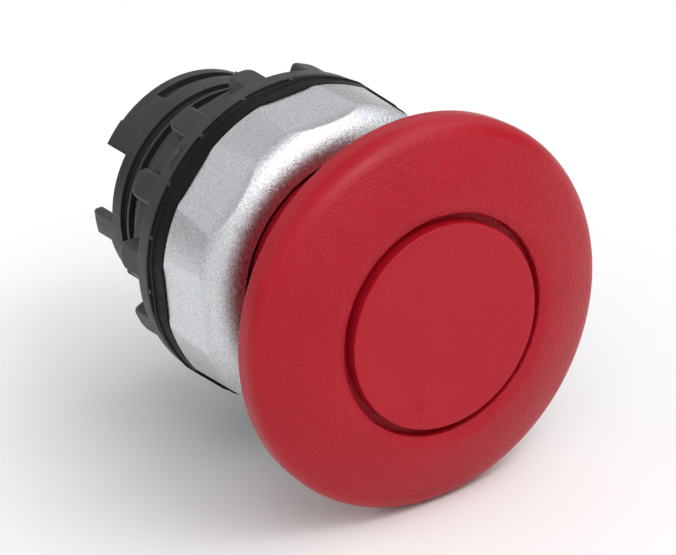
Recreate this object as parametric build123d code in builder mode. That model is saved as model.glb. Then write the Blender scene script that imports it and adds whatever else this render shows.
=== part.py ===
"""Emergency stop operator: a 38 mm mushroom head on a 22 mm panel-mounting body.

The button's axis is the Y axis and the head faces -Y. The origin is the centre of the
gasket face that sits on the panel. "Ahead" is a distance from that face towards the head,
so it is negative behind the panel. Angles run from +X towards +Z. All sizes are in mm.
"""
from build123d import *
from math import cos, radians, sin
import os

# ---- driving dimensions ------------------------------------------------------------------
HEAD_DIAMETER = 38.0
BEZEL_DIAMETER = 31.0
BODY_DIAMETER = 22.0
TRAVEL = 5.5
RUNNING_FIT = 0.05

# Places along the axis, ahead of the panel seat
DISC_FRONT = 25.4
CAP_FRONT = 25.2
CAP_REAR = 19.5
BEZEL_FRONT = 10.5
SHOULDER_START = 7.9
GASKET_THICKNESS = 2.1
WASHER_FRONT = -0.2
NUT_FRONT = -0.6
FLANGE_REAR = -2.45
NUT_REAR = -6.4
BODY_REAR = -16.9

# Mushroom cap
CAP_WALL = 1.8
DOME_MIDDLE = (14.9, 24.45)
DOME_END = (18.1, 22.9)
SHOULDER_BULGE = (18.72, 22.2)
SIDE_FRONT = 21.1
SIDE_LEAN = 0.1
RIM_EDGE = 0.35
HOLLOW_FRONT = 20.9
HOLLOW_MIDDLE = (14.9, 22.5)
HOLLOW_END_RADIUS = 12.3
GROOVE_RADIUS = 10.8
DISC_RADIUS = 10.0
DISC_SEAT = 23.9
SKIRT_RADIUS = 11.35
SKIRT_BORE = 9.9
SKIRT_END = 9.9
BOSS_RADIUS = 6.2
BOSS_END = 13.0
SPIGOT_RADIUS = 3.95
SPIGOT_END = 20.15
SCREW_SEAT = 22.0
DISC_LEG_ANGLES = (30, 150, 270)
DISC_LEG_SPREAD = 24

# Bezel
FLAT_COUNT = 8
FLAT_REACH_REAR = 15.08
FLAT_REACH_FRONT = 14.9
SHOULDER_MIDDLE = (14.95, 9.1)
SHOULDER_END_RADIUS = 12.2
BEZEL_BORE = 13.2
BEZEL_MOUTH = 11.8
BEZEL_LIP = 1.4
BEZEL_EDGE = 0.15
GASKET_FLAT_REACH = 15.3

# Body
FLANGE_RADIUS = 13.15
RECESS_RADIUS = 11.6
RECESS_FLOOR = 3.6
SLEEVE_RADIUS = 9.2
SLEEVE_FRONT = 7.2
WEB_REAR = 2.6
SHAFT_RADIUS = 6.0
MAIN_BORE = 8.4
GROOVE_FLOOR = 10.3
THREAD_END = -9.7
RIDGE_FRONT = -10.45
RIDGE_REAR = -10.75
TAIL_TUBE_FRONT = -12.1
TAIL_TUBE_RADIUS = 10.85
TAIL_TUBE_BORE = 9.4
TAIL_BORE_FRONT = -11.0
TAIL_CHAMFER = 0.3
TAIL_STEP_LEAN = 0.25
WINDOW_FLOOR = -13.5
LOW_WINDOW_FLOOR = -14.4
PRONG_BORE = 9.8
STEP_FRONT = -14.8
STEP_RADIUS = 10.7
SLOT_REAR = -15.6
SLOT_START = 55
SLOT_END = 108
STEP_END = 128.9
KEYWAY_RADIUS = 9.0
KEY_WIDTH = 2.4

# Seals and rings
SEAL_FLOOR = 4.6
SEAL_POCKET = 8.0
SEAL_FRONT = 6.3
ORING_PLACE = 6.6
ORING_WIRE = 0.42
ORING_RADIUS = 12.77
SNAP_FRONT = 4.2
SNAP_REAR = 3.2

# Plunger, spring and latch
PLUNGER_FLANGE_RADIUS = 8.3
PLUNGER_FLANGE_FRONT = 2.1
PLUNGER_FLANGE_REAR = 0.5
PLUNGER_TAIL = 5.5
SEAT_FRONT = -7.6
SEAT_REAR = -9.8
CIRCLIP_REAR = -10.4
FOOT_FRONT = -10.9
FOOT_REAR = -12.3
FOOT_RADIUS = 7.0
PIN_RADIUS = 3.0
PIN_END = -13.4
SPRING_RADIUS = 6.9
SPRING_WIRE = 0.3
SPRING_TURNS = 3.5
LATCH_WIRE = 0.3
LATCH_PLACE = -9.35
LATCH_GROOVE_RADIUS = 4.9

# Ring nut
NUT_FLANGE_RADIUS = 15.5
NUT_COLLAR_RADIUS = 13.2
LUG_RADIUS = 15.1
LUG_COUNT = 13
LUG_START = 146.7
LUG_WIDTH = 2.9
LUG_REAR = -5.7
NUB_COUNT = 18
NUB_START = 1.7
GATE_ANGLE = 132.2
GATE_PLACE = -1.4

# Radius and distance ahead are the two directions of a turned part's outline
TURNING_PLANE = Plane(origin=(0, 0, 0), x_dir=(1, 0, 0), z_dir=(0, 0, -1))


def across(ahead):
    """The plane across the axis at a distance ahead of the panel seat, facing forward."""
    return Plane.XZ.offset(ahead)


def outward(angle, radius):
    """A plane that faces away from the axis; its own y direction is ahead."""
    away = (cos(radians(angle)), 0, sin(radians(angle)))
    around = (-sin(radians(angle)), 0, cos(radians(angle)))
    return Plane(origin=(radius * away[0], 0, radius * away[2]), x_dir=around, z_dir=away)


def turned_outline(*corners):
    """A closed outline of (radius, ahead) corners, ready to revolve about the axis."""
    with BuildSketch(TURNING_PLANE) as outline:
        with BuildLine():
            Polyline(*corners, close=True)
        make_face()
    return outline.sketch


def ring_outline(inner, outer, rear, front):
    """The rectangular outline of a plain ring."""
    return turned_outline((inner, rear), (outer, rear), (outer, front), (inner, front))


def ring_sector(inner, outer, start, spread, ahead):
    """A flat piece of a ring, from angle start over spread, across the axis."""
    with BuildSketch(across(ahead)) as sector:
        with BuildLine():
            outer_arc = CenterArc((0, 0), outer, start, spread)
            inner_arc = CenterArc((0, 0), inner, start, spread)
            Line(outer_arc @ 0, inner_arc @ 0)
            Line(outer_arc @ 1, inner_arc @ 1)
        make_face()
    return sector.sketch


def save(piece, name):
    """Labels a finished piece and writes its STEP file."""
    piece.label = name
    export_step(piece, f"parts/{name}.step")


os.makedirs("parts", exist_ok=True)

# ---- mushroom cap ------------------------------------------------------------------------
head_radius = HEAD_DIAMETER / 2
crown_rear = DISC_SEAT - CAP_WALL
with BuildPart() as mushroom_cap:
    with BuildSketch(TURNING_PLANE):
        with BuildLine():
            dome = ThreePointArc((GROOVE_RADIUS, CAP_FRONT), DOME_MIDDLE, DOME_END)
            shoulder = ThreePointArc(dome @ 1, SHOULDER_BULGE, (head_radius, SIDE_FRONT))
            side = Line(shoulder @ 1, (head_radius - SIDE_LEAN, CAP_REAR + RIM_EDGE))
            edge = Line(side @ 1, (head_radius - SIDE_LEAN - 0.3, CAP_REAR))
            rim = Line(edge @ 1, (head_radius - CAP_WALL, CAP_REAR))
            inside = Line(rim @ 1, (head_radius - CAP_WALL, HOLLOW_FRONT))
            under = ThreePointArc(inside @ 1, HOLLOW_MIDDLE,
                                  (HOLLOW_END_RADIUS, crown_rear + 0.9))
            neck = Line(under @ 1, (SKIRT_RADIUS, crown_rear))
            skirt = Line(neck @ 1, (SKIRT_RADIUS, SKIRT_END))
            skirt_end = Line(skirt @ 1, (SKIRT_BORE, SKIRT_END))
            skirt_bore = Line(skirt_end @ 1, (SKIRT_BORE, crown_rear))
            crown = Line(skirt_bore @ 1, (0, crown_rear))
            axis_line = Line(crown @ 1, (0, DISC_SEAT))
            disc_floor = Line(axis_line @ 1, (GROOVE_RADIUS, DISC_SEAT))
            Line(disc_floor @ 1, dome @ 0)
        make_face()
    revolve(axis=Axis.Y)
    revolve(turned_outline((0, BOSS_END), (BOSS_RADIUS, BOSS_END),
                           (BOSS_RADIUS, crown_rear), (0, crown_rear)), axis=Axis.Y)
    # Three ribs between the disc's legs tie the boss to the skirt
    with BuildSketch(across(crown_rear)):
        with PolarLocations((BOSS_RADIUS + SKIRT_BORE) / 2, 3, start_angle=90):
            Rectangle(SKIRT_BORE - BOSS_RADIUS + 0.6, 1.2)
    extrude(amount=-4)
    # Keyed socket for the plunger's spigot, and the screw's hole and counterbore
    with BuildSketch(across(BOSS_END)):
        Circle(SPIGOT_RADIUS + RUNNING_FIT)
        with PolarLocations(4.2, 2):
            Rectangle(1.6, 1.7)
    extrude(amount=SPIGOT_END + RUNNING_FIT - BOSS_END, mode=Mode.SUBTRACT)
    with BuildSketch(across(BOSS_END)):
        Circle(1.7)
    extrude(amount=CAP_FRONT - BOSS_END, mode=Mode.SUBTRACT)
    with BuildSketch(across(SCREW_SEAT)):
        Circle(3.3)
    extrude(amount=CAP_FRONT - SCREW_SEAT, mode=Mode.SUBTRACT)
    # Slots that the disc's legs snap through
    for leg_angle in DISC_LEG_ANGLES:
        slot_start = leg_angle - DISC_LEG_SPREAD / 2 - 1
        extrude(ring_sector(7.9, 9.4, slot_start, DISC_LEG_SPREAD + 2, crown_rear - 0.5),
                amount=CAP_WALL + 1, mode=Mode.SUBTRACT)
save(mushroom_cap.part, "mushroom_cap")

# ---- disc in the middle of the cap -------------------------------------------------------
with BuildPart() as cap_disc:
    revolve(turned_outline((0, DISC_SEAT), (DISC_RADIUS, DISC_SEAT),
                           (DISC_RADIUS, DISC_FRONT - 0.15), (DISC_RADIUS - 0.15, DISC_FRONT),
                           (0, DISC_FRONT)), axis=Axis.Y)
    for leg_angle in DISC_LEG_ANGLES:
        leg_start = leg_angle - DISC_LEG_SPREAD / 2
        extrude(ring_sector(8.0, 9.0, leg_start, DISC_LEG_SPREAD, DISC_SEAT), amount=-2.5)
        extrude(ring_sector(8.9, 9.3, leg_start, DISC_LEG_SPREAD, crown_rear - 0.05),
                amount=-0.5)
save(cap_disc.part, "cap_disc")

# ---- screw and spring washer that hold the cap on the plunger ----------------------------
with BuildPart() as screw_washer:
    revolve(ring_outline(1.65, 2.9, SCREW_SEAT, SCREW_SEAT + 0.5), axis=Axis.Y)
save(screw_washer.part, "screw_washer")

with BuildPart() as cap_screw:
    head_rear = SCREW_SEAT + 0.5
    revolve(turned_outline((0, 15.0), (1.1, 15.0), (1.45, 15.4), (1.45, head_rear),
                           (2.8, head_rear), (2.8, head_rear + 0.8), (2.3, 23.8),
                           (0, 23.8)), axis=Axis.Y)
    with BuildSketch(across(23.8)):
        Rectangle(3.0, 0.6)
        Rectangle(0.6, 3.0)
    extrude(amount=-0.8, mode=Mode.SUBTRACT)
save(cap_screw.part, "cap_screw")

# ---- plunger -----------------------------------------------------------------------------
latched_place = LATCH_PLACE + TRAVEL
with BuildPart() as plunger:
    revolve(turned_outline((0, SPIGOT_END), (SPIGOT_RADIUS, SPIGOT_END),
                           (SPIGOT_RADIUS, BOSS_END), (SHAFT_RADIUS, BOSS_END),
                           (SHAFT_RADIUS, PLUNGER_FLANGE_FRONT),
                           (PLUNGER_FLANGE_RADIUS, PLUNGER_FLANGE_FRONT),
                           (PLUNGER_FLANGE_RADIUS, PLUNGER_FLANGE_REAR),
                           (PLUNGER_TAIL, PLUNGER_FLANGE_REAR), (PLUNGER_TAIL, FOOT_FRONT),
                           (PIN_RADIUS, FOOT_FRONT), (PIN_RADIUS, PIN_END),
                           (0, PIN_END)), axis=Axis.Y)
    # Keys that turn the cap with the plunger
    with BuildSketch(across(BOSS_END)):
        with PolarLocations(4.15, 2):
            Rectangle(1.5, 1.6)
    extrude(amount=SPIGOT_END - BOSS_END - 0.2)
    # Keys that keep the plunger from turning in the body
    with BuildSketch(across(PLUNGER_FLANGE_REAR)):
        with PolarLocations(PLUNGER_FLANGE_RADIUS, 2):
            Rectangle(1.2, KEY_WIDTH)
    extrude(amount=PLUNGER_FLANGE_FRONT - PLUNGER_FLANGE_REAR)
    # Two rounded grooves for the latch wire: released and latched
    for groove_place in (LATCH_PLACE, latched_place):
        revolve(turned_outline((LATCH_GROOVE_RADIUS, groove_place - 0.35),
                               (PLUNGER_TAIL + 0.5, groove_place - 0.75),
                               (PLUNGER_TAIL + 0.5, groove_place + 0.75),
                               (LATCH_GROOVE_RADIUS, groove_place + 0.35)),
                axis=Axis.Y, mode=Mode.SUBTRACT)
    revolve(ring_outline(2.4, PIN_RADIUS + 0.2, -13.05, -12.4), axis=Axis.Y,
            mode=Mode.SUBTRACT)
    with BuildSketch(across(SPIGOT_END)):
        Circle(1.5)
    extrude(amount=-6.5, mode=Mode.SUBTRACT)
save(plunger.part, "plunger")

# ---- bezel: a turned shell with eight shallow flats and a rounded shoulder ---------------
bezel_radius = BEZEL_DIAMETER / 2
with BuildPart() as bezel:
    with BuildSketch(TURNING_PLANE):
        with BuildLine():
            base = Line((BEZEL_BORE, GASKET_THICKNESS),
                        (bezel_radius - BEZEL_EDGE, GASKET_THICKNESS))
            base_edge = Line(base @ 1, (bezel_radius, GASKET_THICKNESS + BEZEL_EDGE))
            wall = Line(base_edge @ 1, (bezel_radius - 0.02, SHOULDER_START))
            bulge = ThreePointArc(wall @ 1, SHOULDER_MIDDLE, (SHOULDER_END_RADIUS, BEZEL_FRONT))
            lip = Line(bulge @ 1, (BEZEL_MOUTH, BEZEL_FRONT - 0.25))
            mouth = Line(lip @ 1, (BEZEL_MOUTH, BEZEL_FRONT - BEZEL_LIP))
            lip_rear = Line(mouth @ 1, (BEZEL_BORE, BEZEL_FRONT - BEZEL_LIP))
            Line(lip_rear @ 1, base @ 0)
        make_face()
    revolve(axis=Axis.Y)
    # Each flat leans in towards the front, so that it widens as it goes
    for flat in range(FLAT_COUNT):
        flat_side = outward(90 + flat * 360 / FLAT_COUNT, 0)
        side_plane = Plane(origin=flat_side.origin, x_dir=flat_side.z_dir,
                           z_dir=flat_side.x_dir)
        with BuildSketch(side_plane):
            with BuildLine():
                Polyline((FLAT_REACH_REAR, -GASKET_THICKNESS), (18, -GASKET_THICKNESS),
                         (18, -BEZEL_FRONT), (FLAT_REACH_FRONT, -BEZEL_FRONT), close=True)
            make_face()
        extrude(amount=8, both=True, mode=Mode.SUBTRACT)
    # Groove for the snap ring
    revolve(ring_outline(BEZEL_BORE - 0.5, BEZEL_BORE + 0.6, SNAP_REAR, SNAP_FRONT),
            axis=Axis.Y, mode=Mode.SUBTRACT)
save(bezel.part, "bezel")

# ---- operator body -----------------------------------------------------------------------
body_radius = BODY_DIAMETER / 2
flange_front = BEZEL_FRONT - BEZEL_LIP - 0.1
with BuildPart() as operator_body:
    revolve(turned_outline((SHAFT_RADIUS + RUNNING_FIT, WEB_REAR), (MAIN_BORE, WEB_REAR),
                           (MAIN_BORE, TAIL_BORE_FRONT), (TAIL_TUBE_BORE, TAIL_BORE_FRONT),
                           (TAIL_TUBE_BORE, BODY_REAR),
                           (TAIL_TUBE_RADIUS - TAIL_CHAMFER, BODY_REAR),
                           (TAIL_TUBE_RADIUS, BODY_REAR + TAIL_CHAMFER),
                           (TAIL_TUBE_RADIUS, TAIL_TUBE_FRONT),
                           (GROOVE_FLOOR, TAIL_TUBE_FRONT + TAIL_STEP_LEAN),
                           (GROOVE_FLOOR, RIDGE_REAR),
                           (body_radius, RIDGE_REAR), (body_radius, RIDGE_FRONT),
                           (GROOVE_FLOOR, RIDGE_FRONT), (GROOVE_FLOOR, THREAD_END),
                           (body_radius, THREAD_END), (body_radius, GASKET_THICKNESS),
                           (FLANGE_RADIUS, GASKET_THICKNESS), (FLANGE_RADIUS, flange_front),
                           (RECESS_RADIUS, flange_front), (RECESS_RADIUS, RECESS_FLOOR),
                           (SLEEVE_RADIUS, RECESS_FLOOR), (SLEEVE_RADIUS, SLEEVE_FRONT),
                           (SEAL_POCKET, SLEEVE_FRONT), (SEAL_POCKET, SEAL_FLOOR),
                           (SHAFT_RADIUS + RUNNING_FIT, SEAL_FLOOR)), axis=Axis.Y)
    # Grooves for the O-ring, the bezel's snap ring and the circlip
    revolve(ring_outline(ORING_RADIUS - ORING_WIRE - 0.02, FLANGE_RADIUS + 0.1,
                         ORING_PLACE - 0.55, ORING_PLACE + 0.55),
            axis=Axis.Y, mode=Mode.SUBTRACT)
    revolve(ring_outline(12.4, FLANGE_RADIUS + 0.1, SNAP_REAR, SNAP_FRONT),
            axis=Axis.Y, mode=Mode.SUBTRACT)
    revolve(ring_outline(MAIN_BORE - 0.2, 9.2, CIRCLIP_REAR, SEAT_REAR),
            axis=Axis.Y, mode=Mode.SUBTRACT)
    # Keyways for the plunger's keys, open to the rear
    with BuildSketch(across(WEB_REAR)):
        with PolarLocations(MAIN_BORE, 2):
            Rectangle(2 * (KEYWAY_RADIUS - MAIN_BORE), KEY_WIDTH + 0.1)
    extrude(amount=TAIL_BORE_FRONT - WEB_REAR, mode=Mode.SUBTRACT)
    # Keyway under the nut for the clamp washer's tongue
    with BuildSketch(outward(270, GROOVE_FLOOR)):
        with Locations((0, THREAD_END / 2)):
            Rectangle(3.0, -THREAD_END)
    extrude(amount=2, mode=Mode.SUBTRACT)
    # Locating lug for the notch of the panel hole
    with BuildSketch(outward(90, body_radius - 0.3)):
        with Locations((0, -0.55)):
            Rectangle(3.0, 1.1)
    extrude(amount=2.0)
    # Two open windows at the sides leave a narrow prong in each
    for half_turn in (0, 180):
        extrude(ring_sector(9.0, 12, 142.9 + half_turn, 35.4, BODY_REAR - 0.5),
                amount=WINDOW_FLOOR - BODY_REAR + 0.5, mode=Mode.SUBTRACT)
        extrude(ring_sector(9.0, 12, 190.8 + half_turn, 31.2, BODY_REAR - 0.5),
                amount=LOW_WINDOW_FLOOR - BODY_REAR + 0.5, mode=Mode.SUBTRACT)
        # The prong is thinner than the wall
        extrude(ring_sector(9.0, PRONG_BORE, 177 + half_turn, 15, BODY_REAR - 0.5),
                amount=WINDOW_FLOOR - BODY_REAR + 0.5, mode=Mode.SUBTRACT)
        # Most of each long wall steps down a little behind the slot
        extrude(ring_sector(STEP_RADIUS, 12, SLOT_START + half_turn, STEP_END - SLOT_START,
                            BODY_REAR - 0.5),
                amount=STEP_FRONT - BODY_REAR + 0.5, mode=Mode.SUBTRACT)
        # The shallow slot around the wall takes the adapter's bayonet catch
        extrude(ring_sector(10.0, 12, SLOT_START + half_turn, SLOT_END - SLOT_START,
                            SLOT_REAR),
                amount=1.5, mode=Mode.SUBTRACT)
save(operator_body.part, "operator_body")

# ---- seals and rings in the front of the body --------------------------------------------
with BuildPart() as stem_seal:
    revolve(turned_outline((SHAFT_RADIUS + 0.35, SEAL_FLOOR), (SEAL_POCKET, SEAL_FLOOR),
                           (SEAL_POCKET, SEAL_FRONT), (7.3, SEAL_FRONT), (7.0, 5.4),
                           (6.6, 5.4), (SHAFT_RADIUS + 0.35, SEAL_FRONT - 0.1),
                           (SHAFT_RADIUS + 0.03, SEAL_FRONT - 0.2)), axis=Axis.Y)
save(stem_seal.part, "stem_seal")

with BuildPart() as seal_retainer:
    revolve(ring_outline(6.35, SEAL_POCKET, SEAL_FRONT, SLEEVE_FRONT), axis=Axis.Y)
save(seal_retainer.part, "seal_retainer")

with BuildPart() as bezel_oring:
    with BuildSketch(TURNING_PLANE):
        with Locations((ORING_RADIUS, ORING_PLACE)):
            Circle(ORING_WIRE)
    revolve(axis=Axis.Y)
save(bezel_oring.part, "bezel_oring")

with BuildPart() as bezel_snap_ring:
    extrude(ring_sector(12.5, 13.7, 280, 340, SNAP_REAR + 0.05), amount=0.9)
save(bezel_snap_ring.part, "bezel_snap_ring")

with BuildPart() as stop_washer:
    revolve(ring_outline(6.1, 8.3, PLUNGER_FLANGE_FRONT, WEB_REAR), axis=Axis.Y)
save(stop_washer.part, "stop_washer")

# ---- panel gasket: follows the bezel's outline, with a bevelled rear lip -----------------
with BuildPart() as panel_gasket:
    revolve(turned_outline((body_radius + 0.02, 0), (15.35, 0), (15.65, 0.35), (15.65, 0.7),
                           (15.5, 0.8), (15.5, GASKET_THICKNESS),
                           (body_radius + 0.02, GASKET_THICKNESS)), axis=Axis.Y)
    with BuildSketch(across(GASKET_THICKNESS + 1)):
        Circle(20)
        RegularPolygon(GASKET_FLAT_REACH, FLAT_COUNT, major_radius=False,
                       rotation=180 / FLAT_COUNT, mode=Mode.SUBTRACT)
    extrude(amount=-GASKET_THICKNESS - 2, mode=Mode.SUBTRACT)
save(panel_gasket.part, "panel_gasket")

# ---- return spring -----------------------------------------------------------------------
spring_length = PLUNGER_FLANGE_REAR - SEAT_FRONT
coil_height = spring_length - 2 * SPRING_WIRE
with BuildPart() as return_spring:
    with BuildLine() as coil:
        Helix(pitch=coil_height / SPRING_TURNS, height=coil_height, radius=SPRING_RADIUS,
              center=(0, -SEAT_FRONT - SPRING_WIRE, 0), direction=(0, -1, 0))
    with BuildSketch(Plane(origin=coil.line @ 0, z_dir=coil.line % 0)):
        Circle(SPRING_WIRE)
    sweep()
save(return_spring.part, "return_spring")

# ---- spring seat, latch spring and circlip -----------------------------------------------
latch_reach = LATCH_GROOVE_RADIUS + LATCH_WIRE + 0.02
bend_centre = 2.5
with BuildPart() as spring_seat:
    revolve(ring_outline(PLUNGER_TAIL + RUNNING_FIT, MAIN_BORE - 0.02, SEAT_REAR, SEAT_FRONT),
            axis=Axis.Y)
    # Pocket in the rear face for the hairpin latch spring
    with BuildSketch(across(SEAT_REAR)):
        with BuildLine():
            Line((-9, -latch_reach - 0.75), (bend_centre, -latch_reach - 0.75))
            CenterArc((bend_centre, 0), latch_reach + 0.75, -90, 180)
            Line((bend_centre, latch_reach + 0.75), (-9, latch_reach + 0.75))
            Line((-9, latch_reach + 0.75), (-9, -latch_reach - 0.75))
        make_face()
    extrude(amount=LATCH_PLACE + 0.35 - SEAT_REAR, mode=Mode.SUBTRACT)
save(spring_seat.part, "spring_seat")

with BuildPart() as latch_spring:
    with BuildLine(across(LATCH_PLACE)) as hairpin:
        lower_leg = Line((-6.3, -latch_reach), (bend_centre, -latch_reach))
        bend = CenterArc((bend_centre, 0), latch_reach, -90, 180)
        Line(bend @ 1, (-6.3, latch_reach))
    with BuildSketch(Plane(origin=lower_leg @ 0, z_dir=lower_leg % 0)):
        Circle(LATCH_WIRE)
    sweep()
save(latch_spring.part, "latch_spring")

with BuildPart() as seat_circlip:
    extrude(ring_sector(7.2, 9.1, 110, 320, CIRCLIP_REAR + 0.02), amount=0.56)
save(seat_circlip.part, "seat_circlip")

# ---- actuator foot that presses the contact blocks, and its clip -------------------------
with BuildPart() as actuator_foot:
    revolve(ring_outline(PIN_RADIUS + 0.01, FOOT_RADIUS, FOOT_REAR, FOOT_FRONT),
            axis=Axis.Y)
    with BuildSketch(across(FOOT_REAR)):
        with PolarLocations(5.6, 2):
            RectangleRounded(2.4, 5.0, 0.6)
    extrude(amount=-0.8)
save(actuator_foot.part, "actuator_foot")

with BuildPart() as foot_clip:
    extrude(ring_sector(2.42, 4.3, 300, 300, -13.0), amount=0.55)
save(foot_clip.part, "foot_clip")

# ---- clamp washer: toothed, keyed to the body, between panel and nut ---------------------
nub_angles = [NUB_START + nub * 360 / NUB_COUNT for nub in range(NUB_COUNT)]
washer_rear = NUT_FRONT + 0.03
with BuildPart() as clamp_washer:
    revolve(ring_outline(body_radius + 0.2, 15.0, washer_rear, WASHER_FRONT), axis=Axis.Y)
    with BuildSketch(*[outward(angle, 14.3) for angle in nub_angles]):
        with Locations((0, (washer_rear - 0.04) / 2)):
            Rectangle(0.5, -washer_rear - 0.04)
    extrude(amount=1.15)
    with BuildSketch(across(washer_rear)):
        with Locations((0, -11.0)):
            Rectangle(2.8, 1.2)
    extrude(amount=WASHER_FRONT - washer_rear)
    with BuildSketch(across(washer_rear)):
        with Locations((0, 12.0)):
            Rectangle(3.4, 2.4)
    extrude(amount=WASHER_FRONT - washer_rear, mode=Mode.SUBTRACT)
save(clamp_washer.part, "clamp_washer")

# ---- ring nut with grip lugs -------------------------------------------------------------
lug_angles = [LUG_START + lug * 360 / LUG_COUNT for lug in range(LUG_COUNT)]
with BuildPart() as ring_nut:
    revolve(turned_outline((13.0, NUT_FRONT), (NUT_FLANGE_RADIUS - 0.15, NUT_FRONT),
                           (NUT_FLANGE_RADIUS, NUT_FRONT - 0.15),
                           (NUT_FLANGE_RADIUS - 0.15, FLANGE_REAR + 0.45),
                           (NUT_FLANGE_RADIUS - 0.5, FLANGE_REAR),
                           (NUT_COLLAR_RADIUS, FLANGE_REAR),
                           (NUT_COLLAR_RADIUS, NUT_REAR + 0.25),
                           (NUT_COLLAR_RADIUS - 0.25, NUT_REAR),
                           (body_radius + RUNNING_FIT, NUT_REAR),
                           (body_radius + RUNNING_FIT, NUT_FRONT - 0.6),
                           (13.0, NUT_FRONT - 0.6)), axis=Axis.Y)
    # Grip lugs with rounded rear corners stand on the collar
    with BuildSketch(*[outward(angle, NUT_COLLAR_RADIUS - 0.4) for angle in lug_angles]):
        with Locations((0, (FLANGE_REAR + LUG_REAR) / 2 + 0.5)):
            RectangleRounded(LUG_WIDTH, FLANGE_REAR - LUG_REAR + 1.0, 0.85)
    extrude(amount=LUG_RADIUS - NUT_COLLAR_RADIUS + 0.4)
    # Moulding gate recess in the flange's edge
    with BuildSketch(outward(GATE_ANGLE, NUT_FLANGE_RADIUS - 0.55)):
        with Locations((0, GATE_PLACE)):
            SlotOverall(2.7, 0.9)
    extrude(amount=1.5, mode=Mode.SUBTRACT)
save(ring_nut.part, "ring_nut")
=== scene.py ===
"""Looks of the emergency stop operator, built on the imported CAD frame.

Radii and places "ahead" of the panel seat are in mm, as in the CAD: the button's axis is
Y, the head faces -Y, and angles run from +X towards +Z.
"""
from math import atan2, ceil, cos, degrees, hypot, pi, radians, sin, tan

import bmesh
import bpy
from mathutils import Matrix, Vector, noise


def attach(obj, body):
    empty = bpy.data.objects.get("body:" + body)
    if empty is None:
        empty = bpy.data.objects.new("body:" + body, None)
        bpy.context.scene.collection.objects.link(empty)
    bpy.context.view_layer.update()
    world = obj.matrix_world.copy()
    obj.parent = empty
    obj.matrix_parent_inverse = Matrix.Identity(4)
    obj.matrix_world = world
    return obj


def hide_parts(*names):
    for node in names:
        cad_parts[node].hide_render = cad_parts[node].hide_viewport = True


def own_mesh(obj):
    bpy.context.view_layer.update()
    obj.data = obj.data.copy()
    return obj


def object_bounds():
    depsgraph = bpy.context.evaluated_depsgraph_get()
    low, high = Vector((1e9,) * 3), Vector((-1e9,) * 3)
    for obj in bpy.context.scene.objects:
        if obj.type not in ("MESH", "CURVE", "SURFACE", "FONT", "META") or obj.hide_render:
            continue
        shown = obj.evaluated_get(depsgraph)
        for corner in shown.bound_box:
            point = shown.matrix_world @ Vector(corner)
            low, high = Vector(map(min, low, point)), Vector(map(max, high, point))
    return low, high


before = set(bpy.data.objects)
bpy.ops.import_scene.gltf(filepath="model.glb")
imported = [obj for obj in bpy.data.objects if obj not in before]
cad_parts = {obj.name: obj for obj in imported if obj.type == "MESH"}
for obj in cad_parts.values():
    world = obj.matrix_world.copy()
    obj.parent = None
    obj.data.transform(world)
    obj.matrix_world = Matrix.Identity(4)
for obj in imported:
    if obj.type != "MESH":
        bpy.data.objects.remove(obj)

MM = 0.001
cad_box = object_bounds()


# ---- outlines of (radius, ahead) points --------------------------------------------------
def arc_through(start, middle, end, count):
    """Points along the circular arc from start through middle to end."""
    ax, ay = start
    bx, by = middle
    cx, cy = end
    d = 2 * (ax * (by - cy) + bx * (cy - ay) + cx * (ay - by))
    ux = ((ax * ax + ay * ay) * (by - cy) + (bx * bx + by * by) * (cy - ay)
          + (cx * cx + cy * cy) * (ay - by)) / d
    uy = ((ax * ax + ay * ay) * (cx - bx) + (bx * bx + by * by) * (ax - cx)
          + (cx * cx + cy * cy) * (bx - ax)) / d
    radius = hypot(ax - ux, ay - uy)
    first = atan2(ay - uy, ax - ux)
    turn = (atan2(cy - uy, cx - ux) - first + pi) % (2 * pi) - pi
    return [(ux + radius * cos(first + turn * i / count),
             uy + radius * sin(first + turn * i / count)) for i in range(count + 1)]


def rounded(corners, steps=4):
    """A closed outline whose (radius, ahead, rounding) corners are replaced by small arcs."""
    points = []
    for i, (x, y, size) in enumerate(corners):
        if not size:
            points.append((x, y))
            continue
        before = Vector(corners[i - 1][:2]) - Vector((x, y))
        after = Vector(corners[(i + 1) % len(corners)][:2]) - Vector((x, y))
        angle = before.angle(after)
        reach = min(size / tan(angle / 2), 0.48 * before.length, 0.48 * after.length)
        centre_way = (before.normalized() + after.normalized()).normalized()
        centre = Vector((x, y)) + centre_way * (reach / cos(angle / 2))
        a = Vector((x, y)) + before.normalized() * reach - centre
        b = Vector((x, y)) + after.normalized() * reach - centre
        sweep = a.angle_signed(b)
        for k in range(steps + 1):
            spot = centre + Matrix.Rotation(-sweep * k / steps, 2) @ a
            points.append((spot.x, spot.y))
    return points


def divided(points, longest):
    """A closed outline with its long sides divided."""
    out = []
    for i, a in enumerate(points):
        b = points[(i + 1) % len(points)]
        parts = max(1, ceil(hypot(b[0] - a[0], b[1] - a[1]) / longest))
        out += [(a[0] + (b[0] - a[0]) * k / parts, a[1] + (b[1] - a[1]) * k / parts)
                for k in range(parts)]
    return out


# ---- meshes ------------------------------------------------------------------------------
def spot(radius, angle, ahead):
    """The point at a radius, an angle in degrees and a place ahead, in metres."""
    return Vector((radius * cos(radians(angle)), -ahead, radius * sin(radians(angle)))) * MM


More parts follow.
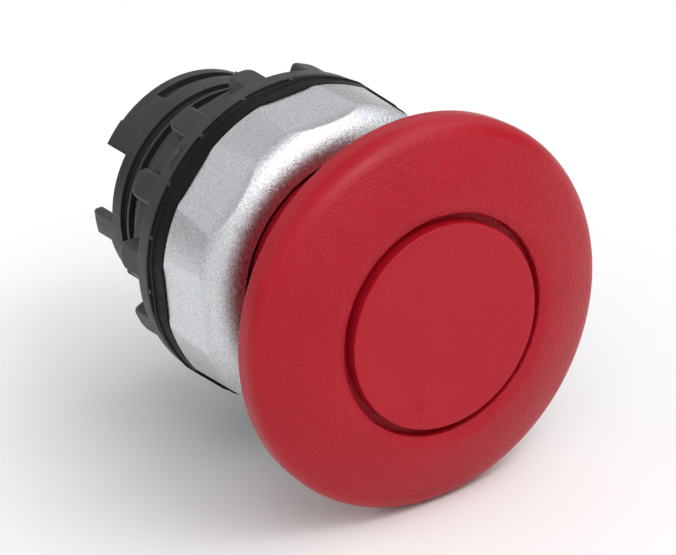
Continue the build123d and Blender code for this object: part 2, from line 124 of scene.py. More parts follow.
class Shells:
    """Closed shells that together make one piece."""

    def __init__(self):
        self.mesh = bmesh.new()

    def turned(self, outline, steps=192, shape=None):
        """An outline turned about the axis; shape(angle, radius, ahead) may bend it."""
        rows = []
        for i in range(steps):
            angle = 360 * i / steps
            row = [shape(angle, r, s) if shape else (r, s) for r, s in outline]
            rows.append([self.mesh.verts.new(spot(r, angle, s)) for r, s in row])
        for i in range(steps):
            self.joined(rows[i], rows[(i + 1) % steps])

    def joined(self, one, other):
        """Quads between two closed rows of points."""
        for k in range(len(one)):
            nxt = (k + 1) % len(one)
            self.mesh.faces.new((one[k], one[nxt], other[nxt], other[k]))

    def cells(self, angles, radii, places, filled, bend=None):
        """The outside of the filled cells of a grid round the axis.

        bend(radius, ahead) may change the radius of the grid's corners.
        """
        count = len(angles)
        corners = {}

        def corner(i, j, k):
            key = (i % count, j, k)
            if key not in corners:
                radius = bend(radii[j], places[k]) if bend else radii[j]
                corners[key] = self.mesh.verts.new(spot(radius, angles[i % count], places[k]))
            return corners[key]

        solid = set()
        for i in range(count):
            end = angles[(i + 1) % count] + (360 if i == count - 1 else 0)
            middle = ((angles[i] + end) / 2) % 360
            for j in range(len(radii) - 1):
                for k in range(len(places) - 1):
                    if filled(middle, (radii[j] + radii[j + 1]) / 2,
                              (places[k] + places[k + 1]) / 2):
                        solid.add((i, j, k))
        for i, j, k in solid:
            n = i + 1
            if ((i - 1) % count, j, k) not in solid:
                self.quad(corner(i, j, k), corner(i, j, k + 1), corner(i, j + 1, k + 1),
                          corner(i, j + 1, k))
            if (n % count, j, k) not in solid:
                self.quad(corner(n, j, k), corner(n, j, k + 1), corner(n, j + 1, k + 1),
                          corner(n, j + 1, k))
            for edge, way in ((j, -1), (j + 1, 1)):
                if (i, j + way, k) not in solid:
                    self.quad(corner(i, edge, k), corner(i, edge, k + 1),
                              corner(n, edge, k + 1), corner(n, edge, k))
            for edge, way in ((k, -1), (k + 1, 1)):
                if (i, j, k + way) not in solid:
                    self.quad(corner(i, j, edge), corner(i, j + 1, edge),
                              corner(n, j + 1, edge), corner(n, j, edge))

    def quad(self, *corners):
        """One face, left out where it is there already."""
        if self.mesh.faces.get(corners) is None:
            self.mesh.faces.new(corners)

    def layers(self, rows):
        """A closed skin over rows of points, capped at both ends."""
        made = [[self.mesh.verts.new(p) for p in row] for row in rows]
        for one, other in zip(made, made[1:]):
            self.joined(one, other)
        self.mesh.faces.new(made[0])
        self.mesh.faces.new(made[-1])

    def piece(self, name, body, node, finish, slot, bevel=0.0):
        """The finished piece: it rides on its body and stands for its CAD node."""
        bmesh.ops.remove_doubles(self.mesh, verts=self.mesh.verts, dist=1e-8)
        bmesh.ops.recalc_face_normals(self.mesh, faces=self.mesh.faces)
        data = bpy.data.meshes.new(name)
        self.mesh.to_mesh(data)
        self.mesh.free()
        return placed(data, name, body, node, finish, bevel)


def placed(data, name, body, node, finish, bevel):
    """A mesh as a finished piece with softened edges."""
    piece = bpy.data.objects.new(name, data)
    bpy.context.scene.collection.objects.link(piece)
    data.shade_smooth()
    data.materials.clear()
    data.materials.append(finish)
    if bevel:
        rounding = piece.modifiers.new("rounding", "BEVEL")
        rounding.width = bevel * MM
        rounding.segments = 3
        rounding.limit_method = "ANGLE"
        rounding.angle_limit = radians(32)
        rounding.miter_outer = "MITER_ARC"
    else:
        data.set_sharp_from_angle(angle=radians(38))
    weighting = piece.modifiers.new("weighting", "WEIGHTED_NORMAL")
    weighting.keep_sharp = True
    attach(piece, body)
    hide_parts(node)
    return piece


def softened(node, body, finish, bevel):
    """A CAD node's own shape with its edges rounded off."""
    work = bmesh.new()
    work.from_mesh(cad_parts[node].data)
    bmesh.ops.remove_doubles(work, verts=work.verts, dist=1e-7)
    bmesh.ops.dissolve_limit(work, angle_limit=radians(0.5), verts=work.verts,
                             edges=work.edges)
    data = bpy.data.meshes.new(node + "_shape")
    work.to_mesh(data)
    work.free()
    return placed(data, node + "_shape", body, node, finish, bevel)


# ---- materials ---------------------------------------------------------------------------
class Finish:
    """A procedural material in the making."""

    def __init__(self, name, **settings):
        self.material = bpy.data.materials.new(name)
        self.material.use_nodes = True
        self.nodes = self.material.node_tree.nodes
        self.links = self.material.node_tree.links
        self.shader = self.nodes["Principled BSDF"]
        self.place = self.nodes.new("ShaderNodeTexCoord").outputs["Object"]
        for socket, value in settings.items():
            self.shader.inputs[socket.replace("_", " ")].default_value = value

    def noise(self, size, detail=2.0, roughness=0.5):
        """Cloudy noise whose features are size mm across."""
        node = self.nodes.new("ShaderNodeTexNoise")
        node.inputs["Scale"].default_value = 1 / (size * MM)
        node.inputs["Detail"].default_value = detail
        node.inputs["Roughness"].default_value = roughness
        self.links.new(self.place, node.inputs["Vector"])
        return node.outputs["Fac"]

    def pebbles(self, size, smoothness=0.6):
        """Rounded grains size mm across."""
        node = self.nodes.new("ShaderNodeTexVoronoi")
        node.feature = "SMOOTH_F1"
        node.inputs["Smoothness"].default_value = smoothness
        node.inputs["Scale"].default_value = 1 / (size * MM)
        self.links.new(self.place, node.inputs["Vector"])
        return node.outputs["Distance"]

    def spread(self, value, low, high, out_low=0.0, out_high=1.0):
        """value stretched from low..high to out_low..out_high, and kept in it."""
        node = self.nodes.new("ShaderNodeMapRange")
        for socket, number in zip(("From Min", "From Max", "To Min", "To Max"),
                                  (low, high, out_low, out_high)):
            node.inputs[socket].default_value = number
        self.links.new(value, node.inputs["Value"])
        return node.outputs["Result"]

    def sum(self, a, b, operation="ADD"):
        """Arithmetic on two values or numbers."""
        node = self.nodes.new("ShaderNodeMath")
        node.operation = operation
        for socket, value in zip(node.inputs, (a, b)):
            if isinstance(value, (int, float)):
                socket.default_value = value
            else:
                self.links.new(value, socket)
        return node.outputs["Value"]

    def near(self, point, reach, softness):
        """1 within reach mm of a point in the frame, fading to 0 over softness mm."""
        node = self.nodes.new("ShaderNodeVectorMath")
        node.operation = "DISTANCE"
        self.links.new(self.place, node.inputs[0])
        node.inputs[1].default_value = point
        return self.spread(node.outputs["Value"], reach * MM, (reach + softness) * MM, 1, 0)

    def radius(self):
        """The distance from the button's axis, in mm."""
        parts = self.nodes.new("ShaderNodeSeparateXYZ")
        self.links.new(self.place, parts.inputs["Vector"])
        across, up = parts.outputs["X"], parts.outputs["Z"]
        square = self.sum(self.sum(across, across, "MULTIPLY"), self.sum(up, up, "MULTIPLY"))
        return self.sum(self.sum(square, 0.5, "POWER"), 1 / MM, "MULTIPLY")

    def ahead(self):
        """The distance ahead of the panel seat, in mm."""
        parts = self.nodes.new("ShaderNodeSeparateXYZ")
        self.links.new(self.place, parts.inputs["Vector"])
        return self.sum(parts.outputs["Y"], -1 / MM, "MULTIPLY")

    def mixed(self, amount, one, other):
        """A colour between two."""
        node = self.nodes.new("ShaderNodeMix")
        node.data_type = "RGBA"
        self.links.new(amount, node.inputs[0])
        for socket, colour in ((node.inputs[6], one), (node.inputs[7], other)):
            if isinstance(colour, tuple):
                socket.default_value = (*colour, 1)
            else:
                self.links.new(colour, socket)
        return node.outputs[2]

    def colour(self, source):
        self.links.new(source, self.shader.inputs["Base Color"])

    def roughness(self, source):
        self.links.new(source, self.shader.inputs["Roughness"])

    def relief(self, *layers):
        """Bumps, each a (height, strength, depth in mm)."""
        normal = None
        for height, strength, depth in layers:
            node = self.nodes.new("ShaderNodeBump")
            node.inputs["Strength"].default_value = strength
            node.inputs["Distance"].default_value = depth * MM
            self.links.new(height, node.inputs["Height"])
            if normal is not None:
                self.links.new(normal, node.inputs["Normal"])
            normal = node.outputs["Normal"]
        self.links.new(normal, self.shader.inputs["Normal"])


def red_plastic(name, grain, depth, grained_to=30.0, marks=()):
    """Red moulded plastic with spark-eroded grain, smooth outside the radius grained_to."""
    red = Finish(name, IOR=1.5, Specular_IOR_Level=0.24, Subsurface_Weight=0.10,
                 Subsurface_Scale=0.0008)
    cloud = red.noise(9.0, 3.0)
    fine = red.noise(0.22, 2.0)
    tone = red.mixed(red.spread(cloud, 0.35, 0.65), (0.380, 0.0052, 0.0152),
                     (0.412, 0.0066, 0.0180))
    tone = red.mixed(red.spread(fine, 0.45, 0.62, 0, 0.5), tone, (0.325, 0.0035, 0.0120))
    for point, reach in marks:
        tone = red.mixed(red.near(point, reach, 0.25), tone, (0.325, 0.0034, 0.0110))
    red.colour(tone)
    red.roughness(red.spread(red.noise(3.0, 3.0), 0.3, 0.7, 0.33, 0.42))
    leather = red.sum(red.spread(red.pebbles(grain), 0.1, 0.7, 1, 0), red.noise(grain * 0.6, 3.0))
    patch = red.spread(red.noise(7.0, 2.0), 0.35, 0.65, 0.8, 1.0)
    patch = red.sum(patch, red.spread(red.radius(), grained_to - 0.4, grained_to, 1, 0.08),
                    "MULTIPLY")
    red.relief((red.sum(leather, patch, "MULTIPLY"), 1.0, depth),
               (red.noise(5.0, 1.0), 0.2, 0.05))
    return red.material


def satin_chrome():
    """Satin-chromed metal, blasted before plating: its bumps sparkle, and bright and dark specks
    in its colour are painted sparkle.
    """
    chrome = Finish("satin_chrome", Metallic=1.0)
    cloud = chrome.noise(5.0, 3.0)
    # Painted sparkle: bright and dark specks in the metal's colour stand in for glints of light
    painted_sparkle = chrome.noise(0.11, 1.0)
    base = chrome.mixed(chrome.spread(cloud, 0.35, 0.65), (0.63, 0.645, 0.67),
                        (0.655, 0.67, 0.695))
    base = chrome.mixed(chrome.spread(painted_sparkle, 0.28, 0.5, 1, 0), base, (0.44, 0.455, 0.48))
    chrome.colour(chrome.mixed(chrome.spread(painted_sparkle, 0.5, 0.72), base, (0.78, 0.79, 0.81)))
    chrome.roughness(chrome.spread(chrome.noise(0.5, 3.0), 0.3, 0.7, 0.24, 0.30))
    # The shoulder came out of the blasting coarser than the flats
    coarse = chrome.spread(chrome.ahead(), 7.6, 8.6, 0.55, 1.0)
    chrome.relief((chrome.sum(chrome.noise(0.075, 1.0, 0.5), coarse, "MULTIPLY"), 1.0, 0.045))
    return chrome.material


def black_rubber(name, dark, light, low, high):
    """Moulded rubber with faint bloom."""
    rubber = Finish(name, IOR=1.5, Specular_IOR_Level=0.1)
    rubber.colour(rubber.mixed(rubber.spread(rubber.noise(2.5, 4.0), 0.3, 0.7), dark, light))
    rubber.roughness(rubber.spread(rubber.noise(0.9, 3.0), 0.3, 0.7, low, high))
    rubber.relief((rubber.noise(0.35, 3.0), 0.35, 0.01), (rubber.noise(3.0, 1.0), 0.3, 0.04))
    return rubber.material


def moulded(name, dark, light, low, high, grain, depth):
    """Moulded technical plastic: fine grain, flow marks and small scuffs."""
    plastic = Finish(name, IOR=1.5, Specular_IOR_Level=0.45)
    flow = plastic.spread(plastic.noise(3.2, 4.0, 0.6), 0.3, 0.7)
    tone = plastic.mixed(flow, dark, light)
    scuff = plastic.spread(plastic.noise(0.22, 4.0, 0.7), 0.60, 0.75, 0, 0.5)
    pale = tuple(min(1.0, c * 1.7 + 0.01) for c in light)
    plastic.colour(plastic.mixed(scuff, tone, pale))
    plastic.roughness(plastic.spread(plastic.noise(1.2, 3.0), 0.3, 0.7, low, high))
    grains = plastic.spread(plastic.pebbles(grain), 0.1, 0.7, 1, 0)
    plastic.relief((grains, 0.45, depth), (plastic.noise(2.4, 2.0), 0.3, 0.03))
    return plastic.material


def steel(name, base, dull, low, high, grain):
    """Drawn or stamped steel with fine scratches and a dull bloom."""
    metal = Finish(name, Metallic=1.0)
    metal.colour(metal.mixed(metal.spread(metal.noise(1.1, 4.0), 0.35, 0.7), base, dull))
    metal.roughness(metal.spread(metal.noise(0.4, 3.0), 0.3, 0.7, low, high))
    metal.relief((metal.noise(grain, 2.0, 0.6), 0.4, 0.006))
    return metal.material


CAP_RED = red_plastic("grained_red_plastic", 0.23, 0.065, 18.0)
# The moulding gate left a faint round mark on the disc
DISC_RED = red_plastic("smooth_red_plastic", 0.30, 0.014, marks=[(spot(7.9, 243, 25.4), 0.4)])
CHROME = satin_chrome()
GASKET_RUBBER = black_rubber("gasket_rubber", (0.004, 0.004, 0.0045), (0.008, 0.008, 0.0085),
                             0.42, 0.55)
SEAL_RUBBER = black_rubber("seal_rubber", (0.010, 0.010, 0.011), (0.018, 0.018, 0.019),
                           0.45, 0.60)
GREY_PLASTIC = moulded("slate_grey_plastic", (0.0115, 0.0140, 0.0165), (0.018, 0.0210, 0.0240),
                       0.34, 0.46, 0.16, 0.022)
NUT_PLASTIC = moulded("nut_grey_plastic", (0.018, 0.0215, 0.0245), (0.025, 0.029, 0.032),
                      0.40, 0.50, 0.18, 0.006)
PALE_PLASTIC = moulded("natural_plastic", (0.68, 0.66, 0.60), (0.76, 0.74, 0.68),
                       0.38, 0.50, 0.30, 0.006)
SPRING_STEEL = steel("spring_steel", (0.52, 0.51, 0.50), (0.40, 0.39, 0.38), 0.26, 0.40, 0.10)
ZINC_STEEL = steel("zinc_plated_steel", (0.68, 0.69, 0.72), (0.55, 0.56, 0.60), 0.24, 0.38,
                   0.14)

# ---- mushroom cap ------------------------------------------------------------------------
# A sloping land runs round the groove, and a soft crease where the dome meets the shoulder
cap_outline = [(11.02, 24.99), (11.5, 25.13), (11.72, 25.165), (11.95, 25.16)]
cap_outline += arc_through((12.2, 25.14), (15.0, 24.40), (18.02, 22.97), 30)
cap_outline += arc_through((18.1, 22.9), (18.72, 22.2), (19.0, 21.1), 12)
cap_outline += [(18.95, 20.4)]
cap_outline += arc_through((18.9, 19.85), (18.8, 19.6), (18.55, 19.5), 6)
cap_outline += arc_through((17.4, 19.5), (17.26, 19.56), (17.2, 19.7), 3)
cap_outline += [(17.2, 20.9)]
cap_outline += arc_through((17.2, 20.9), (14.9, 22.5), (12.3, 23.0), 12)[1:]
cap_outline += [(11.35, 22.1), (11.35, 10.05), (11.2, 9.9), (9.9, 9.9), (9.9, 22.1), (0, 22.1),
                (0, 23.9), (10.7, 23.9), (10.8, 24.0), (10.8, 24.8)]
cap_outline += arc_through((10.82, 24.88), (10.9, 24.95), (11.02, 24.99), 3)[:-1]
cap = Shells()
cap.turned(cap_outline, 288)
cap.turned(rounded([(4.0, 13.0, 0), (6.2, 13.0, 0.2), (6.2, 22.2, 0), (4.0, 22.2, 0)]), 96)
# Three ribs join the boss to the skirt
cap.cells(list(range(0, 360, 3)), [6.1, 10.0], [18.1, 22.2],
          lambda angle, radius, ahead: any(abs(angle - rib) < 5 for rib in (90, 210, 330)))
cap.piece("mushroom_cap_shell", "head", "mushroom_cap", CAP_RED, "red_plastic")

# ---- disc --------------------------------------------------------------------------------
disc = Shells()
disc_top = rounded([(0, 23.9, 0), (10.0, 23.9, 0.05), (10.0, 25.4, 0.14), (0, 25.4, 0)], 5)
disc.turned(divided(disc_top, 0.9), 288)
disc.piece("cap_disc_shell", "head", "cap_disc", DISC_RED, "red_plastic")

# ---- bezel -------------------------------------------------------------------------------
bezel_outline = rounded([(13.2, 2.1, 0), (15.5, 2.1, 0.14), (15.5, 3.1, 0)])
bezel_outline += [(15.495, s / 10) for s in range(33, 75, 3)]
bezel_outline += [(15.49, s / 100) for s in range(753, 789, 9)]
bezel_outline += arc_through((15.48, 7.9), (14.95, 9.1), (12.2, 10.5), 60)
bezel_outline += arc_through((12.2, 10.5), (11.91, 10.44), (11.8, 10.2), 6)[1:]
bezel_outline += [(11.8, 9.3), (12.0, 9.1), (13.2, 9.1)]
FLAT_STEP = 45
FLAT_REACH, FLAT_LEAN = 15.15, 0.0321
GASKET_FRONT = 2.1
CREASE_BLUR = 0.008


def off_flat(angle):
    """The angle from the middle of the nearest of the eight flats."""
    return (angle - 90 + FLAT_STEP / 2) % FLAT_STEP - FLAT_STEP / 2


def bezel_shape(angle, radius, ahead):
    """The nearest of the eight flats cuts into the round, with a soft edge between them."""
    reach = FLAT_REACH - FLAT_LEAN * (ahead - GASKET_FRONT)
    flat = reach / cos(radians(off_flat(angle)))
    share = max(0.0, 1 - abs(flat - radius) / (CREASE_BLUR * 4))
    return min(flat, radius) - CREASE_BLUR * share * share, ahead


bezel = Shells()
bezel.turned(divided(bezel_outline, 0.5), 900, bezel_shape)
bezel.piece("bezel_shell", "operator", "bezel", CHROME, "satin_chrome")

# ---- gasket ------------------------------------------------------------------------------
gasket_outline = rounded([(11.02, 0, 0), (15.5, 0, 0.05), (15.65, 0.12, 0.06),
                          (15.65, 0.45, 0.06), (15.52, 0.55, 0.04), (15.5, 2.1, 0.12),
                          (11.02, 2.1, 0)])
GASKET_RADIUS, GASKET_FLAT_REACH = 15.5, 15.3


def gasket_shape(angle, radius, ahead):
    """The gasket follows the bezel's flats, a hair outside them."""
    lip = max(0.0, radius - GASKET_RADIUS)
    return min(radius, lip + GASKET_FLAT_REACH / cos(radians(off_flat(angle)))), ahead


gasket = Shells()
gasket.turned(divided(gasket_outline, 0.5), 720, gasket_shape)
gasket.piece("panel_gasket_shell", "operator", "panel_gasket", GASKET_RUBBER, "black_rubber")

# ---- clamp washer ------------------------------------------------------------------------
NUB_COUNT, NUB_START, NUB_HALF = 18, 1.7, 0.8
TONGUE_START, TONGUE_END = 262.8, 277.2
NOTCH_START, NOTCH_END = 81.9, 98.1
nub_middles = [(NUB_START + 360 * i / NUB_COUNT) % 360 for i in range(NUB_COUNT)]
washer_angles = set(range(0, 360, 3)) | {TONGUE_START, TONGUE_END, NOTCH_START, NOTCH_END}
for middle in nub_middles:
    washer_angles |= {round((middle + way * NUB_HALF) % 360, 3) for way in (-1, 1)}


def washer_filled(angle, radius, ahead):
    """The toothed ring with its tongue and its notch."""
    if radius < 11.2:
        return TONGUE_START < angle < TONGUE_END
    if radius < 13.2:
        return not NOTCH_START < angle < NOTCH_END
    if radius < 15.0:
        return True
    return any(abs((angle - middle + 180) % 360 - 180) < NUB_HALF for middle in nub_middles)


washer = Shells()
washer.cells(sorted(washer_angles), [10.4, 11.2, 13.2, 15.0, 15.42], [-0.57, -0.2],
             washer_filled)
washer.piece("clamp_washer_shell", "washer", "clamp_washer", NUT_PLASTIC, "grey_plastic", 0.06)

# ---- ring nut ----------------------------------------------------------------------------
nut_outline = rounded([(13.0, -0.6, 0.1), (15.5, -0.6, 0.14), (15.38, -2.2, 0.2),
                       (15.0, -2.45, 0.15), (13.2, -2.45, 0.18), (13.2, -6.4, 0.3),
                       (11.05, -6.4, 0.15), (11.05, -1.2, 0.05), (13.0, -1.2, 0.05)])
GATE_ANGLE, GATE_PLACE = 132.2, -1.4
GATE_HALF_LENGTH, GATE_HALF_WIDTH, GATE_SLOPE = 0.9, 0.50, 0.10
NUT_RADIUS = 15.5


def nut_shape(angle, radius, ahead):
    """The moulding gate's recess in the flange's edge, with the torn stub left in it."""
    if radius < 15.2 or not -2.1 < ahead < -0.8:
        return radius, ahead
    along = radians((angle - GATE_ANGLE + 180) % 360 - 180) * NUT_RADIUS
    across = ahead - GATE_PLACE
    past_end = hypot(max(0.0, abs(along) - GATE_HALF_LENGTH), across)
    depth = min(1.0, max(0.0, (GATE_HALF_WIDTH - past_end) / GATE_SLOPE))
    torn = noise.noise(Vector((along * 2.3, across * 2.3, 4.1)))
    torn += 0.5 * noise.noise(Vector((along * 6.1, across * 6.1, 1.7)))
    return radius - depth * (0.16 - 0.16 * torn), ahead


nut = Shells()
nut.turned(divided(nut_outline, 0.09), 900, nut_shape)

LUG_COUNT, LUG_START = 13, 146.7
LUG_HALF_WIDTH, LUG_REAR, LUG_FRONT, LUG_CORNER = 1.45, -5.7, -2.3, 0.95


def lug_rows(middle):
    """Rounded rectangles from inside the collar out to the lug's softened top."""
    rows = []
    for out, inset in ((12.9, 0.0), (14.6, 0.0), (14.8, 0.03), (14.95, 0.1), (15.05, 0.22),
                       (15.1, 0.4)):
        half = LUG_HALF_WIDTH - inset
        rear = LUG_REAR + inset
        corner = LUG_CORNER - inset / 2
        row = []
        for cx, cy in ((half - corner, rear + corner), (-half + corner, rear + corner)):
            begin = 0 if cx > 0 else -90
            for k in range(7):
                turn = radians(begin - 90 * k / 6)
                row.append((cx + corner * cos(turn), cy + corner * sin(turn)))
        row += [(-half, LUG_FRONT), (half, LUG_FRONT)]
        rows.append([spot(hypot(out, u), middle + degrees(atan2(u, out)), s) for u, s in row])
    return rows


for i in range(LUG_COUNT):
    nut.layers(lug_rows(LUG_START + i * 360 / LUG_COUNT))
nut.piece("ring_nut_shell", "nut", "ring_nut", NUT_PLASTIC, "grey_plastic")

# ---- operator body -----------------------------------------------------------------------
body = Shells()
body.turned(rounded([(6.05, 2.6, 0.1), (8.4, 2.6, 0), (8.4, -8.1, 0), (10.3, -8.1, 0),
                     (10.3, -0.1, 0), (11.0, 0.0, 0), (11.0, 2.1, 0), (13.15, 2.1, 0),
                     (13.15, 9.0, 0.25), (11.6, 9.0, 0.2), (11.6, 3.6, 0.2), (9.2, 3.6, 0.2),
                     (9.2, 7.2, 0.15), (8.0, 7.2, 0.1), (8.0, 4.6, 0), (6.05, 4.6, 0.1)]), 240)

# The thread runs out into the groove behind it
THREAD_PITCH = 1.5
THREAD_ROOT, THREAD_DEPTH = 10.32, 0.66
THREAD_REAR, THREAD_RUN_OUT = -8.0, 0.7
thread_rows = [-8.02 + 0.075 * i for i in range(108)]


def thread_shape(angle, radius, ahead):
    """One start of a shallow rounded thread, fading at its end."""
    if radius < 10.5:
        return radius, ahead
    phase = (ahead / THREAD_PITCH + angle / 360) % 1
    ridge = min(1.0, max(0.0, 2.2 * (0.5 - abs(phase - 0.5)) * 2 - 0.55))
    fade = min(1.0, max(0.0, (ahead - THREAD_REAR) / THREAD_RUN_OUT))
    return THREAD_ROOT + THREAD_DEPTH * ridge * fade, ahead


thread_outline = [(10.1, -8.02)] + [(10.98, s) for s in thread_rows] + [(10.1, thread_rows[-1])]
body.turned(thread_outline, 288, thread_shape)

# What cuts the tail: angles repeat after half a turn, and places are ahead of the panel seat
KEYWAY_HALF, PRONG_END, LOW_WINDOW_END = 7.6, 10.8, 42.0
SLOT_START, SLOT_END, STEP_END = 55, 108, 128.9
WINDOW_START, PRONG_START = 142.9, 178.3
TAIL_FRONT, THREAD_END, RIDGE_FRONT, RIDGE_REAR = -7.95, -9.7, -10.45, -10.75
BORE_FRONT, TUBE_FRONT = -11.0, -12.1
WINDOW_FLOOR, LOW_WINDOW_FLOOR = -13.5, -14.4
SLOT_FRONT, STEP_FRONT, SLOT_REAR = -14.1, -14.8, -15.6
CHAMFER_FRONT, BODY_REAR = -16.6, -16.9
MAIN_BORE, KEYWAY_RADIUS, TAIL_BORE, PRONG_BORE = 8.4, 9.0, 9.4, 9.8
SLOT_RADIUS, GROOVE_RADIUS, STEP_RADIUS = 10.0, 10.3, 10.7
TAIL_RADIUS, RIDGE_RADIUS = 10.85, 11.0
TAIL_CHAMFER = 0.3


def tail_filled(angle, radius, ahead):
    """The tube behind the thread, with its ridge, windows, prongs, step and slots."""
    half = angle % 180
    if ahead > RIDGE_FRONT:
        outside = GROOVE_RADIUS if ahead < THREAD_END else TAIL_RADIUS
        keyway = min(half, 180 - half) < KEYWAY_HALF
        return radius < outside and not (radius < KEYWAY_RADIUS and keyway)
    if ahead > RIDGE_REAR:
        return True
    if ahead > TUBE_FRONT:
        return radius < GROOVE_RADIUS and (radius > TAIL_BORE or ahead > BORE_FRONT)
    if not TAIL_BORE < radius < TAIL_RADIUS:
        return False
    if ahead < WINDOW_FLOOR and not PRONG_END < half < PRONG_START:
        return radius > PRONG_BORE
    if ahead < WINDOW_FLOOR and half > WINDOW_START:
        return False
    if ahead < LOW_WINDOW_FLOOR and half < LOW_WINDOW_END:
        return False
    if SLOT_START < half < SLOT_END and SLOT_REAR < ahead < SLOT_FRONT:
        return radius < SLOT_RADIUS
    if SLOT_START < half < STEP_END and ahead < STEP_FRONT:
        return radius < STEP_RADIUS
    return True


def tail_bend(radius, ahead):
    """The rear end's outer edge is chamfered."""
    return radius - TAIL_CHAMFER if ahead < CHAMFER_FRONT and radius > GROOVE_RADIUS else radius


# The grid's angles: every 3 degrees, except where one would lie close beside a mark
marks = [0, KEYWAY_HALF, PRONG_END, LOW_WINDOW_END, SLOT_START, SLOT_END, STEP_END, WINDOW_START,
         round(180 - KEYWAY_HALF, 3), PRONG_START]
tail_angles = sorted(set(float(a) for a in range(0, 360, 3))
                     | {round(m + half, 3) for m in marks for half in (0, 180)})
thinned = [a for a in tail_angles
           if round(a % 180, 3) in marks or all(abs(a % 180 - m) > 1.1 for m in marks)]
tail_radii = [MAIN_BORE, KEYWAY_RADIUS, TAIL_BORE, PRONG_BORE, SLOT_RADIUS, GROOVE_RADIUS,
              STEP_RADIUS, TAIL_RADIUS, RIDGE_RADIUS]
tail_places = [BODY_REAR, CHAMFER_FRONT, SLOT_REAR, STEP_FRONT, LOW_WINDOW_FLOOR, SLOT_FRONT,
               WINDOW_FLOOR, TUBE_FRONT, BORE_FRONT, RIDGE_REAR, RIDGE_FRONT, THREAD_END,
               TAIL_FRONT]
body.cells(thinned, tail_radii, tail_places, tail_filled, tail_bend)
# The locating lug
body.cells([85.0, 87.5, 90.0, 92.5, 95.0, 272.0], [10.8, 11.6, 12.7], [-1.1, 0.0],
           lambda angle, radius, ahead: 82 < angle < 98)
body.piece("operator_body_shell", "operator", "operator_body", GREY_PLASTIC, "grey_plastic",
           0.09)

# ---- return spring -----------------------------------------------------------------------
TURNS, CLOSED_TURNS = 4.0, 0.5
COIL_RADIUS, WIRE_RADIUS = 6.9, 0.3
COIL_REAR, COIL_LENGTH = -7.3, 7.5
COIL_STEPS, WIRE_SIDES = 320, 10


def coil_row(turn):
    """The wire's round section at a turn: the end turns lie flat and ease into the open ones."""
    rise = min(1.0, max(0.0, (turn - CLOSED_TURNS) / (TURNS - 2 * CLOSED_TURNS)))
    smooth = rise * rise * (3 - 2 * rise) * 0.35 + rise * 0.65
    ahead = COIL_REAR + COIL_LENGTH * smooth
    swings = [2 * pi * k / WIRE_SIDES for k in range(WIRE_SIDES)]
    return [spot(COIL_RADIUS + WIRE_RADIUS * cos(swing), 360 * turn,
                 ahead + WIRE_RADIUS * sin(swing)) for swing in swings]


spring = Shells()
spring.layers([coil_row(TURNS * i / COIL_STEPS) for i in range(COIL_STEPS + 1)])
coil = spring.piece("return_spring_coil", "operator", "return_spring", SPRING_STEEL,
                    "spring_steel")
coil.modifiers.clear()
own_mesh(coil)

# ---- pieces that keep their CAD shape, with their edges rounded --------------------------
softened("plunger", "head", PALE_PLASTIC, 0.12)
softened("actuator_foot", "head", GREY_PLASTIC, 0.12)
softened("foot_clip", "head", SPRING_STEEL, 0.05)
softened("spring_seat", "operator", PALE_PLASTIC, 0.08)
softened("seat_circlip", "operator", SPRING_STEEL, 0.05)

KEPT_FINISHES = {
    "bezel_oring": SEAL_RUBBER, "bezel_snap_ring": SPRING_STEEL, "stem_seal": SEAL_RUBBER,
    "seal_retainer": PALE_PLASTIC, "stop_washer": SEAL_RUBBER, "latch_spring": SPRING_STEEL,
    "cap_screw": ZINC_STEEL, "screw_washer": ZINC_STEEL,
}
for node, finish in KEPT_FINISHES.items():
    for material_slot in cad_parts[node].material_slots:
        material_slot.material = finish

# ---- floor -------------------------------------------------------------------------------
low = cad_box[0]
floor_mesh = bpy.data.meshes.new("floor")
FLOOR_HALF = 2
floor_corners = [(x * FLOOR_HALF, y * FLOOR_HALF, low[2])
                 for x, y in ((-1, -1), (1, -1), (1, 1), (-1, 1))]
floor_mesh.from_pydata(floor_corners, [], [(0, 1, 2, 3)])
floor_piece = bpy.data.objects.new("floor", floor_mesh)
bpy.context.scene.collection.objects.link(floor_piece)
floor_finish = Finish("pale_floor", Roughness=0.9)
cloud = floor_finish.noise(60.0, 2.0)
floor_finish.colour(floor_finish.mixed(cloud, (0.86, 0.86, 0.86), (0.88, 0.88, 0.88)))
floor_mesh.materials.append(floor_finish.material)

# ---- light -------------------------------------------------------------------------------
scene = bpy.context.scene
world = bpy.data.worlds.new("studio")
scene.world = world
world.use_nodes = True
sky = world.node_tree
sky.nodes["Background"].inputs["Color"].default_value = (1, 1, 1, 1)
direction = sky.nodes.new("ShaderNodeTexCoord").outputs["Generated"]
parts = sky.nodes.new("ShaderNodeSeparateXYZ")
sky.links.new(direction, parts.inputs["Vector"])


def sky_ramp(value, low, high, out_low, out_high):
    """value stretched smoothly from low..high to out_low..out_high."""
    node = sky.nodes.new("ShaderNodeMapRange")
    node.interpolation_type = "SMOOTHSTEP"
    for socket, number in zip(("From Min", "From Max", "To Min", "To Max"),
                              (low, high, out_low, out_high)):
        node.inputs[socket].default_value = number
    sky.links.new(value, node.inputs["Value"])
    return node.outputs["Result"]


def sky_math(operation, one, other):
    """Two values in one."""
    node = sky.nodes.new("ShaderNodeMath")
    node.operation = operation
    sky.links.new(one, node.inputs[0])
    sky.links.new(other, node.inputs[1])
    return node.outputs["Value"]


def sky_towards(azimuth, elevation, low, high, out_low, out_high):
    """A ramp over the distance from a direction; azimuth 0 is the front, + is the right."""
    turn, lift = radians(azimuth), radians(elevation)
    node = sky.nodes.new("ShaderNodeVectorMath")
    node.operation = "DOT_PRODUCT"
    node.inputs[1].default_value = (sin(turn) * cos(lift), -cos(turn) * cos(lift), sin(lift))
    sky.links.new(direction, node.inputs[0])
    return sky_ramp(node.outputs["Value"], low, high, out_low, out_high)


# Bright ceiling over a dim band at the horizon, brighter at the front right
glow = sky_math("MULTIPLY", sky_ramp(parts.outputs["Z"], 0.02, 0.42, 0.15, 0.92),
                sky_towards(35, 0, -0.9, 0.8, 0.92, 1.06))
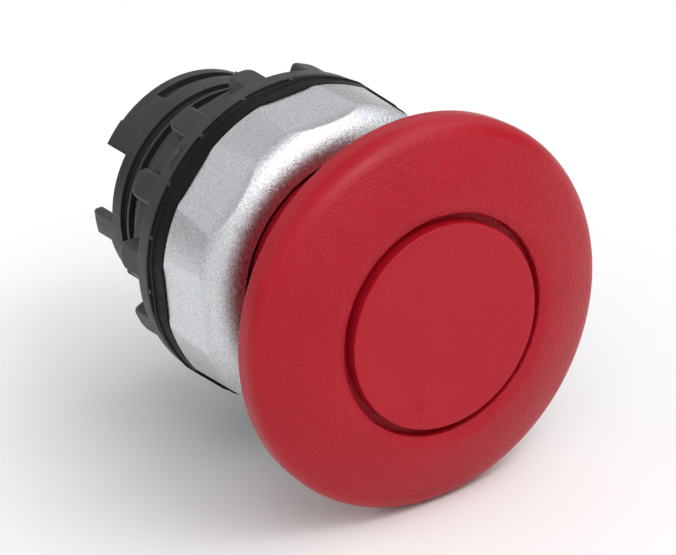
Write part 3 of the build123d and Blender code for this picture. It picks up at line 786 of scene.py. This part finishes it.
# A dark flag at the right and a white wall at the left
glow = sky_math("MULTIPLY", glow, sky_towards(66, -4, 0.72, 0.92, 1.0, 0.12))
glow = sky_math("MAXIMUM", glow, sky_towards(-62, 4, 0.80, 0.97, 0.0, 0.95))
# The ceiling's back is dimmer
glow = sky_math("MULTIPLY", glow, sky_towards(180, 64, 0.84, 0.95, 1.0, 0.60))
# A long bank of lamps over the front
bank = sky_math("MULTIPLY", sky_ramp(parts.outputs["Z"], 0.52, 0.64, 0.0, 1.0),
                sky_ramp(parts.outputs["Z"], 0.82, 0.92, 1.0, 0.0))
bank = sky_math("MULTIPLY", bank, sky_towards(30, 46, 0.60, 0.82, 0.0, 2.0))
glow = sky_math("ADD", glow, bank)
sky.links.new(glow, sky.nodes["Background"].inputs["Strength"])


def softbox(name, place, aim, size, power):
    """A rectangular area light at place, facing aim."""
    lamp = bpy.data.lights.new(name, "AREA")
    lamp.shape = "RECTANGLE"
    lamp.size, lamp.size_y = size
    lamp.energy = power
    holder = bpy.data.objects.new(name, lamp)
    scene.collection.objects.link(holder)
    holder.location = place
    holder.rotation_euler = (Vector(aim) - Vector(place)).to_track_quat("-Z", "Y").to_euler()


softbox("key", (0.08, -0.44, 0.58), (0, 0, 0), (0.30, 0.12), 0.65)

# ---- camera ------------------------------------------------------------------------------
AIM = Vector((0.002418, -0.003886, -0.003936))
DISTANCE = 0.9004
azimuth, elevation, roll = radians(-31.77), radians(27.29), radians(-5.85)
back = Vector((sin(azimuth) * cos(elevation), -cos(azimuth) * cos(elevation), sin(elevation)))
level = Vector((cos(azimuth), sin(azimuth), 0))
upright = back.cross(level)
right = level * cos(roll) + upright * sin(roll)
up = upright * cos(roll) - level * sin(roll)
camera_data = bpy.data.cameras.new("camera")
camera_data.sensor_width = 36.0
camera_data.lens = 516.0
camera = bpy.data.objects.new("camera", camera_data)
scene.collection.objects.link(camera)
scene.camera = camera
eye = AIM + back * DISTANCE
camera.matrix_world = Matrix((
    (right.x, up.x, back.x, eye.x),
    (right.y, up.y, back.y, eye.y),
    (right.z, up.z, back.z, eye.z),
    (0, 0, 0, 1)))

scene.view_settings.view_transform = "Standard"
